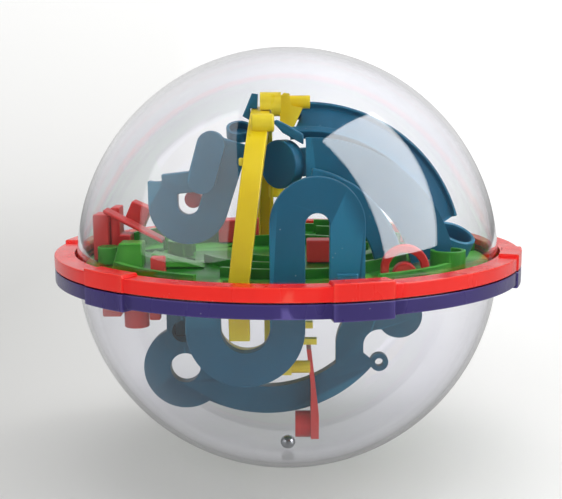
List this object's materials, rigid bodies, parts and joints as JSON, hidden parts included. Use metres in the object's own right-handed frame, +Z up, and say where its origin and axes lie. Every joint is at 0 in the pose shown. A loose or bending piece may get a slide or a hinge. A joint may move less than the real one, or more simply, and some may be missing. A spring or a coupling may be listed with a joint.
{
  "type": "maze ball game",
  "caption": "Clear two-part ball with an equator grip ring; a steel ball runs over coloured plastic tracks, a deck, ramps and cups inside.",
  "frame": {"origin": "centre of the ball, which is the centre of its bounding box", "axes": "+Z up through the upper shell's pole, square to the ring; -Y is the front with the S-shaped track; +X to the right seen from the front"},
  "size_m": [0.1244, 0.1244, 0.1128],
  "materials": {
    "clear_plastic": "clear, polished, moulded",
    "red_ring_plastic": "glossy moulded red",
    "violet_plastic": "glossy moulded violet",
    "blue_plastic": "satin moulded deep blue",
    "green_plastic": "satin moulded green",
    "red_plastic": "satin moulded red",
    "yellow_plastic": "satin moulded yellow",
    "polished_steel": "polished bearing steel"
  },
  "bodies": {
    "case": {"upper_shell": "clear_plastic", "lower_shell": "clear_plastic", "upper_ring": "red_ring_plastic", "lower_ring": "violet_plastic", "front_track": "blue_plastic", "lower_track": "blue_plastic", "drop_box": "blue_plastic", "upper_chute": "blue_plastic", "side_track": "blue_plastic", "lower_slide": "blue_plastic", "side_dish": "blue_plastic", "chute_lip": "blue_plastic", "end_cup": "blue_plastic", "hook_track": "blue_plastic", "tongue_track": "blue_plastic", "top_fin": "blue_plastic", "hook_cup": "blue_plastic", "rear_upper_track": "blue_plastic", "yellow_arch": "yellow_plastic", "top_hub": "yellow_plastic", "lower_post": "yellow_plastic", "rear_lower_track": "yellow_plastic", "green_deck": "green_plastic", "green_block": "green_plastic", "green_catcher_right": "green_plastic", "green_catcher_left": "green_plastic", "green_ramp_left": "green_plastic", "green_ramp_right": "green_plastic", "green_post": "green_plastic", "red_wall_outer": "red_plastic", "red_wall_inner": "red_plastic", "red_cube": "red_plastic", "red_ramp": "red_plastic", "red_start_block": "red_plastic", "red_gate": "red_plastic", "red_arch": "red_plastic", "red_arch_peg": "red_plastic", "red_back_block_left": "red_plastic", "red_back_block_right": "red_plastic", "red_back_gate": "red_plastic", "hook_peg": "red_plastic", "red_lower_bar": "red_plastic", "red_lower_peg": "red_plastic", "red_lower_ledge": "red_plastic", "red_lower_stub": "red_plastic"},
    "marble": {"steel_ball": "polished_steel"}
  },
  "joints": [
    {"name": "marble_roll", "type": "hinge", "parent": "case", "child": "marble", "pos_m": [0, 0, 0], "axis": [0, 1, 0], "range_deg": [-75, 75]}
  ]
}
